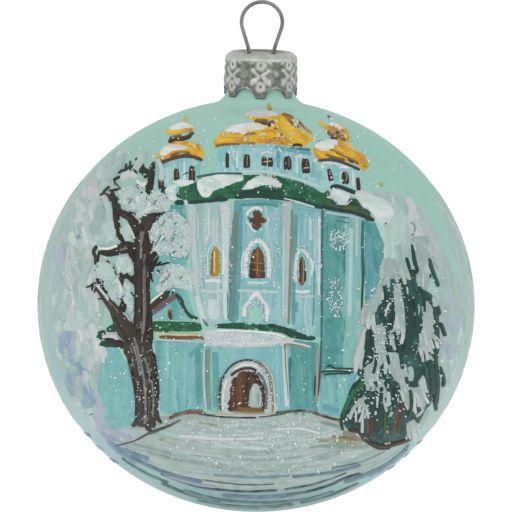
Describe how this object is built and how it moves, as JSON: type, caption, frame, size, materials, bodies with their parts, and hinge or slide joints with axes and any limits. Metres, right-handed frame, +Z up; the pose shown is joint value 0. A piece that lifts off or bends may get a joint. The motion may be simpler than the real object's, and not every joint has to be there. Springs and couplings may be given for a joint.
{
  "type": "glass christmas bauble",
  "caption": "Blown glass bauble with a painted winter scene, a pressed tinplate cap and a spring wire loop to hang it by.",
  "frame": {"origin": "the hanging point: inside the top of the wire loop, where a hook or ribbon bears", "axes": "+Z up along the globe's axis, X across the wire loop, -Y towards the side with the main picture"},
  "size_m": [0.1, 0.1, 0.1173],
  "materials": {
    "lacquered_glass": "pearl lacquer over blown glass, painted and glittered by hand",
    "tinplate": "pressed, satin",
    "spring_wire": "drawn, satin"
  },
  "bodies": {
    "hanger": {"hanger_loop": "spring_wire"},
    "cap": {"cap": "tinplate"},
    "globe": {"glass_globe": "lacquered_glass"}
  },
  "joints": [
    {"name": "loop_rock", "type": "hinge", "parent": "hanger", "child": "cap", "pos_m": [0, 0, -0.01133], "axis": [1, 0, 0], "range_deg": [-15, 15]},
    {"name": "cap_pull", "type": "slide", "parent": "cap", "child": "globe", "axis": [0, 0, -1], "range_m": [0, 0.024]}
  ]
}
